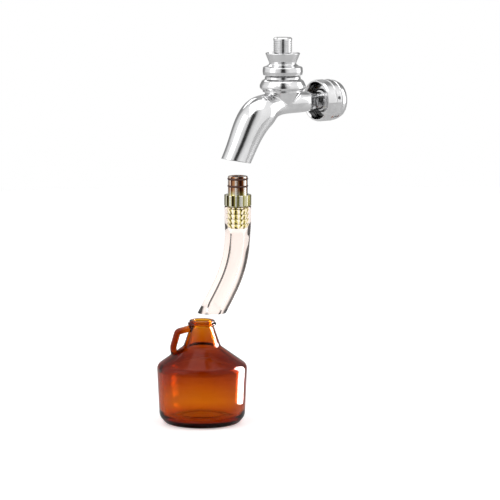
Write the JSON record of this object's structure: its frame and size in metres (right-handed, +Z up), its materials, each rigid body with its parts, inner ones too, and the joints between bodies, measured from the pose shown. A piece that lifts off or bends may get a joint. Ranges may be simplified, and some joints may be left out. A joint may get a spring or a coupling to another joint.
{
  "type": "growler filling siphon set",
  "caption": "Forward-sealing beer tap with a push-in filler tube and a handled amber jug, set out one below the other.",
  "frame": {"origin": "centre of the tap's rear sealing face, on the axis of its beer inlet", "axes": "+X out of the back of the tap along the inlet, -X towards the spout, +Z up along the closed lever's stud"},
  "size_m": [0.1667, 0.0753, 0.3201],
  "materials": {
    "polished_steel": "mirror-polished stainless steel",
    "machined_steel": "turned stainless steel",
    "fitting_steel": "polished turned stainless steel",
    "seat_plastic": "moulded acetal",
    "seal_rubber": "moulded rubber",
    "fitting_rubber": "moulded rubber",
    "clear_vinyl": "clear flexible vinyl",
    "amber_glass": "amber bottle glass"
  },
  "bodies": {
    "tap": {"tap_body": "polished_steel", "compression_bonnet": "polished_steel", "lower_ball_seat": "seat_plastic", "upper_ball_seat": "seat_plastic", "lever_o_ring": "seal_rubber", "valve_seat": "seat_plastic", "shaft_guide": "seat_plastic", "inlet_seal": "seal_rubber"},
    "nut": {"coupling_nut": "polished_steel"},
    "lever": {"handle_lever": "polished_steel", "handle_jacket": "polished_steel", "handle_lock_nut": "polished_steel"},
    "valve": {"valve_knuckle": "machined_steel", "valve_stem": "machined_steel", "valve_tail": "machined_steel", "valve_seal": "seal_rubber"},
    "filler": {"filler_fitting": "fitting_steel", "upper_o_ring": "fitting_rubber", "lower_o_ring": "fitting_rubber", "tube_gasket": "fitting_rubber", "filler_tube": "clear_vinyl"},
    "jug": {"jug_glass": "amber_glass"}
  },
  "joints": [
    {"name": "lever_tilt", "type": "hinge", "parent": "tap", "child": "lever", "pos_m": [-0.058, 0, 0.013], "axis": [0, -1, 0], "range_deg": [0, 20]},
    {"name": "valve_stroke", "type": "slide", "parent": "tap", "child": "valve", "axis": [1, 0, 0], "range_m": [0, 0.0048]},
    {"name": "nut_turn", "type": "hinge", "parent": "tap", "child": "nut", "pos_m": [0, 0, 0], "axis": [1, 0, 0], "continuous": true},
    {"name": "filler_aside", "type": "slide", "parent": "tap", "child": "filler", "axis": [-1, 0, 0], "range_m": [0, 0.12]},
    {"name": "jug_aside", "type": "slide", "parent": "tap", "child": "jug", "axis": [-1, 0, 0], "range_m": [0, 0.15]}
  ],
  "couplings": [
    {"joint": "valve_stroke", "follows": "lever_tilt", "m_per_rad": 0.01274}
  ]
}
